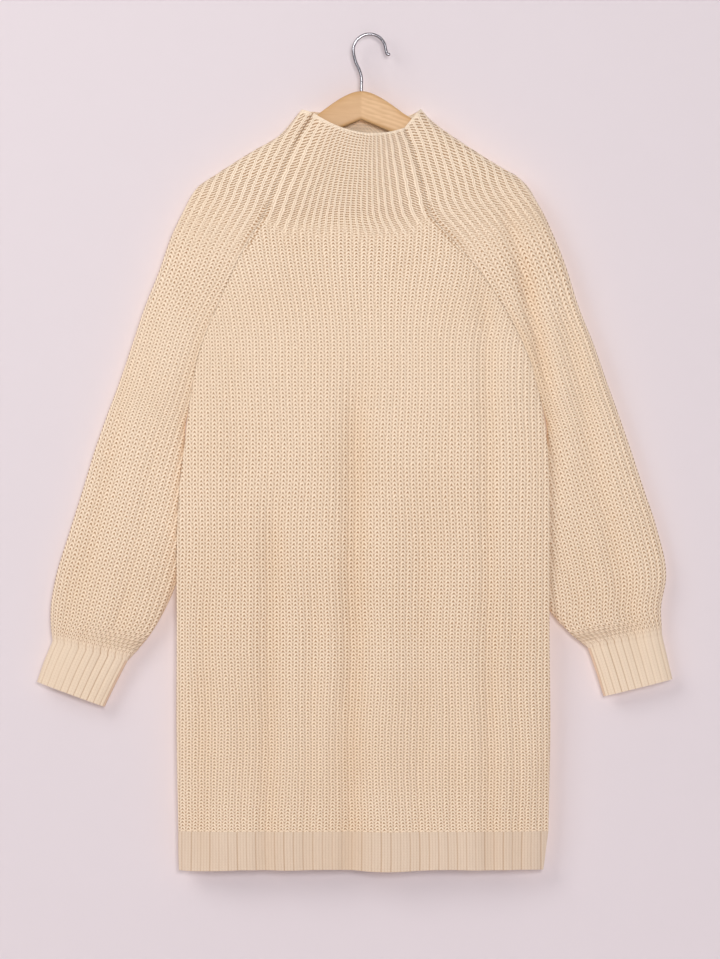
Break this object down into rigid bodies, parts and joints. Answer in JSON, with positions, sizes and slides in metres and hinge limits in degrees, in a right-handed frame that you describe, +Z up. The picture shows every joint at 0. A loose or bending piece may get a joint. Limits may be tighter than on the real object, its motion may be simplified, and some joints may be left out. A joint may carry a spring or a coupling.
{
  "type": "sweater dress on a hanger",
  "caption": "Long-sleeved rib-knit sweater dress with a mock neck, raglan balloon sleeves and ribbed cuffs and hem, hung flat on a wooden hanger.",
  "frame": {"origin": "the point under the top of the hanger hook's arc, where a rail bears", "axes": "+Z up along the dress, -Y out of its front, +X across to the right as seen from the front"},
  "size_m": [0.7005, 0.0438, 0.9217],
  "materials": {
    "chunky_knit": "matt cream cotton-blend yarn in a deep shaker rib",
    "fine_rib": "the same yarn in a close rib",
    "hanger_wood": "clear satin lacquer on pale wood",
    "hook_wire": "polished wire"
  },
  "bodies": {
    "root": {"front_panel": "chunky_knit", "back_panel": "chunky_knit", "sleeve_left_cap": "chunky_knit", "sleeve_left_arm": "chunky_knit", "sleeve_left_forearm": "chunky_knit", "sleeve_right_cap": "chunky_knit", "sleeve_right_arm": "chunky_knit", "sleeve_right_forearm": "chunky_knit", "cuff_left": "fine_rib", "cuff_right": "fine_rib", "hem_front": "fine_rib", "hem_back": "fine_rib", "hanger_bar": "hanger_wood", "hanger_hook": "hook_wire"}
  },
  "joints": []
}
